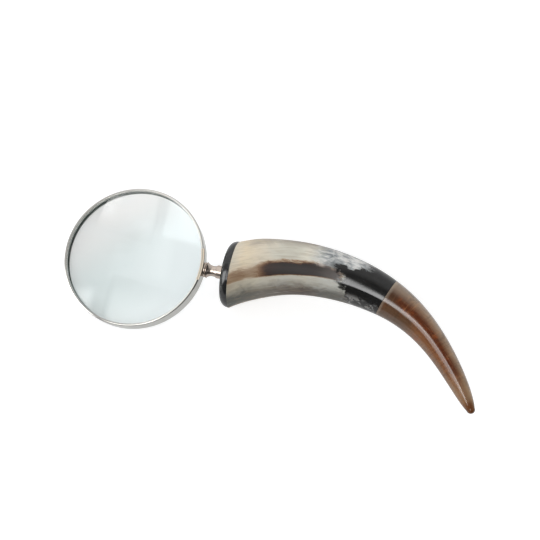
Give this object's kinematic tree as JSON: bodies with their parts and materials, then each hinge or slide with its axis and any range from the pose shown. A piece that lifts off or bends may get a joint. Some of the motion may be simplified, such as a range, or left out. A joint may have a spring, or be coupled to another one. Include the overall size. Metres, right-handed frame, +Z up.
{
  "type": "magnifying glass",
  "caption": "Hand magnifying glass: round lens in a nickel-plated band, turned neck, black end cap and curved, polished horn handle with a spliced brown tip.",
  "frame": {"origin": "centre of the box on the table's surface, with the magnifying glass lying at rest, front of the lens up", "axes": "+X from the lens frame along the neck to the handle, +Y to the side that the horn bows towards first, +Z up from the table"},
  "size_m": [0.2925, 0.1132, 0.0536],
  "materials": {
    "nickel_plate": "polished",
    "lens_glass": "polished",
    "plain_brass": "satin",
    "black_horn": "gloss",
    "pale_horn": "gloss",
    "brown_horn": "gloss",
    "plug_wood": "matte"
  },
  "bodies": {
    "handle": {"end_cap": "black_horn", "threaded_insert": "plain_brass", "core_plug": "plug_wood", "horn_body": "pale_horn", "splice_dowel": "plug_wood", "horn_tip": "brown_horn"},
    "neck": {"neck_spool": "nickel_plate"},
    "head": {"frame_band": "nickel_plate", "lens": "lens_glass", "retaining_ring": "nickel_plate", "rim_saddle": "nickel_plate", "neck_collar": "nickel_plate", "threaded_stud": "plain_brass"}
  },
  "joints": [
    {"name": "neck_slide", "type": "slide", "parent": "handle", "child": "neck", "axis": [-0.9897, -0.0046, -0.1429], "range_m": [0, 0.0097]},
    {"name": "head_unscrew", "type": "hinge", "parent": "neck", "child": "head", "pos_m": [-0.03062, 0.00681, 0.0223], "axis": [-0.9897, -0.0046, -0.1429], "range_deg": [0, 4320]}
  ],
  "couplings": [
    {"joint": "neck_slide", "follows": "head_unscrew", "m_per_rad": 0.00012732}
  ]
}
